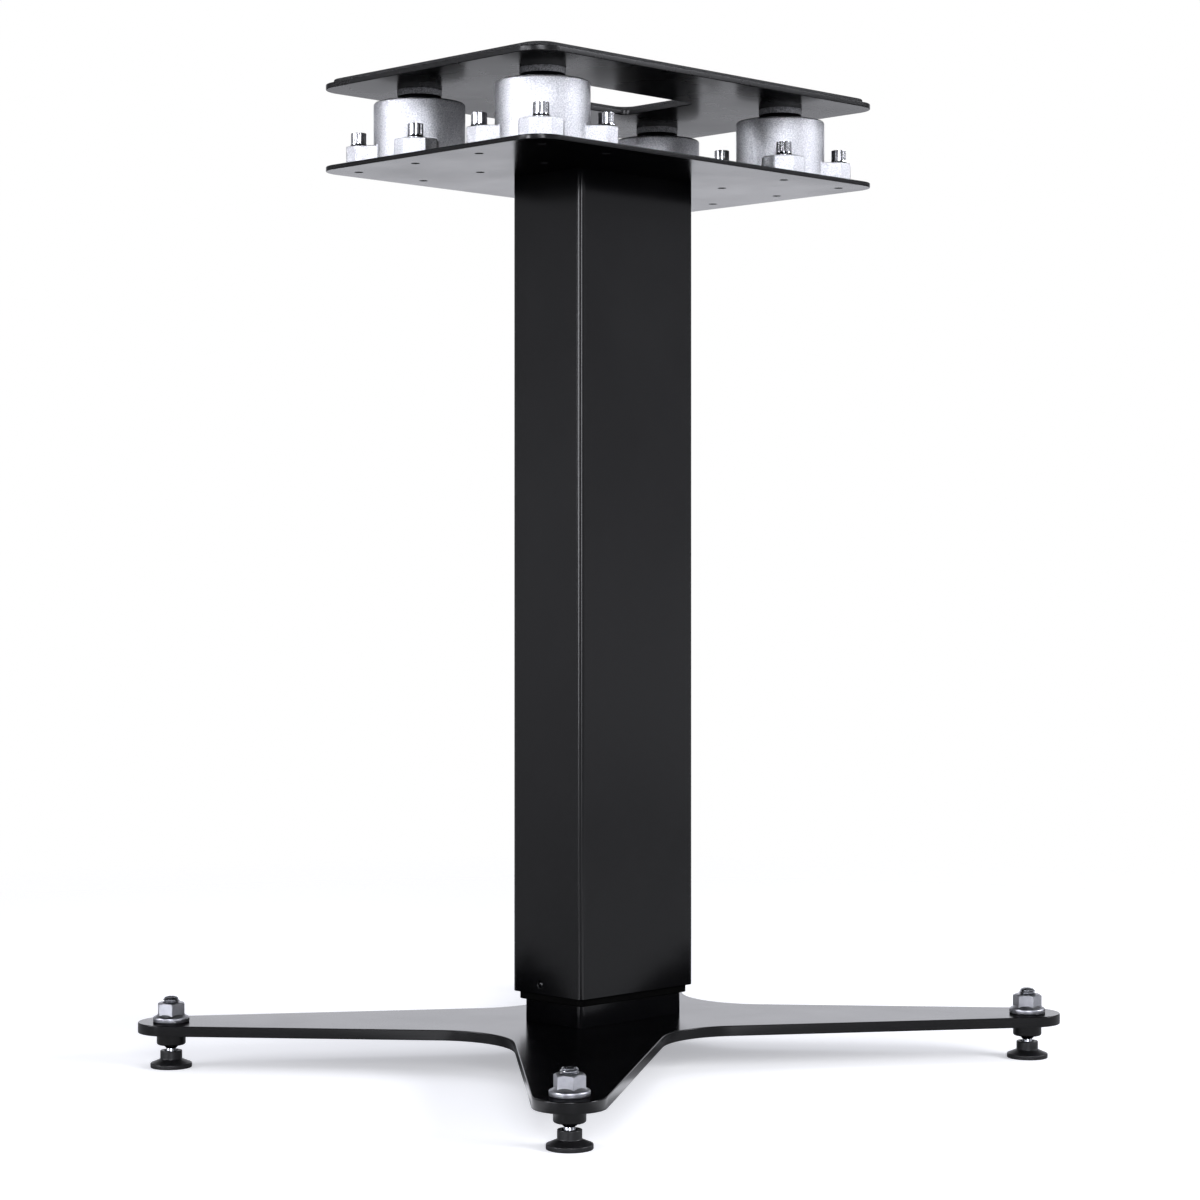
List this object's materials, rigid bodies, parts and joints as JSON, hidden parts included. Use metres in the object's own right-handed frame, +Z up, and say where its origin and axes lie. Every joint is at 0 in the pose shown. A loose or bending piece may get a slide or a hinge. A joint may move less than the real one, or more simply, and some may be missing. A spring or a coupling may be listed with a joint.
{
  "type": "speaker stand",
  "caption": "Loudspeaker stand: X-shaped steel base on levelling feet, layered box column and a platform floating on cast spring isolators.",
  "frame": {"origin": "on the floor under the column's axis, at the centre of the four foot pads", "axes": "+Z up along the column, -Y towards the front, +X to the right"},
  "size_m": [0.4508, 0.5088, 0.695],
  "materials": {
    "black_lacquer": "satin black lacquer",
    "damping_rubber": "matte",
    "pad_rubber": "matte",
    "cast_aluminium": "fine blasted casting",
    "bright_steel": "bright plated",
    "zinc_steel": "zinc plated",
    "stud_steel": "dark threaded steel",
    "black_steel": "blackened steel",
    "raw_steel": "machined",
    "spring_steel": "oiled",
    "black_plastic": "satin moulded",
    "grey_cap": "matte dark grey",
    "foot_plastic": "moulded"
  },
  "bodies": {
    "root": {"base_plate": "black_lacquer", "base_screws": "zinc_steel", "column_foot_block": "raw_steel", "column_tube": "black_lacquer", "column_damping_layer": "damping_rubber", "column_sleeve": "black_lacquer", "sleeve_pin": "black_steel", "column_head_block": "raw_steel", "column_head_screws": "zinc_steel", "isolator_plate": "black_lacquer", "isolator_housing_front_left": "cast_aluminium", "isolator_screws_front_left": "bright_steel", "isolator_cover_front_left": "black_plastic", "isolator_spring_front_left": "spring_steel", "foot_bushing_front_left": "black_steel", "isolator_housing_front_right": "cast_aluminium", "isolator_screws_front_right": "bright_steel", "isolator_cover_front_right": "black_plastic", "isolator_spring_front_right": "spring_steel", "foot_bushing_front_right": "black_steel", "isolator_housing_rear_right": "cast_aluminium", "isolator_screws_rear_right": "bright_steel", "isolator_cover_rear_right": "black_plastic", "isolator_spring_rear_right": "spring_steel", "foot_bushing_rear_right": "black_steel", "isolator_housing_rear_left": "cast_aluminium", "isolator_screws_rear_left": "bright_steel", "isolator_cover_rear_left": "black_plastic", "isolator_spring_rear_left": "spring_steel", "foot_bushing_rear_left": "black_steel"},
    "platform": {"platform_plate": "black_lacquer", "platform_pad": "pad_rubber", "platform_screws": "zinc_steel", "isolator_plunger_front_left": "black_plastic", "isolator_cap_front_left": "grey_cap", "isolator_plunger_front_right": "black_plastic", "isolator_cap_front_right": "grey_cap", "isolator_plunger_rear_right": "black_plastic", "isolator_cap_rear_right": "grey_cap", "isolator_plunger_rear_left": "black_plastic", "isolator_cap_rear_left": "grey_cap"},
    "levelling_stud_front_left": {"foot_stud_front_left": "stud_steel"},
    "swivel_pad_front_left": {"foot_pad_front_left": "foot_plastic"},
    "lock_nut_front_left": {"foot_lock_nut_front_left": "zinc_steel"},
    "levelling_stud_front_right": {"foot_stud_front_right": "stud_steel"},
    "swivel_pad_front_right": {"foot_pad_front_right": "foot_plastic"},
    "lock_nut_front_right": {"foot_lock_nut_front_right": "zinc_steel"},
    "levelling_stud_rear_right": {"foot_stud_rear_right": "stud_steel"},
    "swivel_pad_rear_right": {"foot_pad_rear_right": "foot_plastic"},
    "lock_nut_rear_right": {"foot_lock_nut_rear_right": "zinc_steel"},
    "levelling_stud_rear_left": {"foot_stud_rear_left": "stud_steel"},
    "swivel_pad_rear_left": {"foot_pad_rear_left": "foot_plastic"},
    "lock_nut_rear_left": {"foot_lock_nut_rear_left": "zinc_steel"}
  },
  "joints": [
    {"name": "platform_float", "type": "slide", "parent": "root", "child": "platform", "axis": [0, 0, 1], "range_m": [-0.003, 0], "stiffness_N_per_m": 20000, "springref_m": 0.003, "deforming": ["isolator_spring_front_left", "isolator_spring_front_right", "isolator_spring_rear_right", "isolator_spring_rear_left"]},
    {"name": "foot_height_front_left", "type": "slide", "parent": "root", "child": "levelling_stud_front_left", "axis": [0, 0, -1], "range_m": [0, 0.01]},
    {"name": "pad_tilt_front_left", "type": "hinge", "parent": "levelling_stud_front_left", "child": "swivel_pad_front_left", "pos_m": [-0.202, -0.231, 0.0076], "axis": [1, 0, 0], "range_deg": [-8, 8]},
    {"name": "nut_turn_front_left", "type": "hinge", "parent": "root", "child": "lock_nut_front_left", "pos_m": [-0.202, -0.231, 0.038], "axis": [0, 0, 1], "continuous": true},
    {"name": "foot_height_front_right", "type": "slide", "parent": "root", "child": "levelling_stud_front_right", "axis": [0, 0, -1], "range_m": [0, 0.01]},
    {"name": "pad_tilt_front_right", "type": "hinge", "parent": "levelling_stud_front_right", "child": "swivel_pad_front_right", "pos_m": [0.202, -0.231, 0.0076], "axis": [1, 0, 0], "range_deg": [-8, 8]},
    {"name": "nut_turn_front_right", "type": "hinge", "parent": "root", "child": "lock_nut_front_right", "pos_m": [0.202, -0.231, 0.038], "axis": [0, 0, 1], "continuous": true},
    {"name": "foot_height_rear_right", "type": "slide", "parent": "root", "child": "levelling_stud_rear_right", "axis": [0, 0, -1], "range_m": [0, 0.01]},
    {"name": "pad_tilt_rear_right", "type": "hinge", "parent": "levelling_stud_rear_right", "child": "swivel_pad_rear_right", "pos_m": [0.202, 0.231, 0.0076], "axis": [1, 0, 0], "range_deg": [-8, 8]},
    {"name": "nut_turn_rear_right", "type": "hinge", "parent": "root", "child": "lock_nut_rear_right", "pos_m": [0.202, 0.231, 0.038], "axis": [0, 0, 1], "continuous": true},
    {"name": "foot_height_rear_left", "type": "slide", "parent": "root", "child": "levelling_stud_rear_left", "axis": [0, 0, -1], "range_m": [0, 0.01]},
    {"name": "pad_tilt_rear_left", "type": "hinge", "parent": "levelling_stud_rear_left", "child": "swivel_pad_rear_left", "pos_m": [-0.202, 0.231, 0.0076], "axis": [1, 0, 0], "range_deg": [-8, 8]},
    {"name": "nut_turn_rear_left", "type": "hinge", "parent": "root", "child": "lock_nut_rear_left", "pos_m": [-0.202, 0.231, 0.038], "axis": [0, 0, 1], "continuous": true}
  ]
}
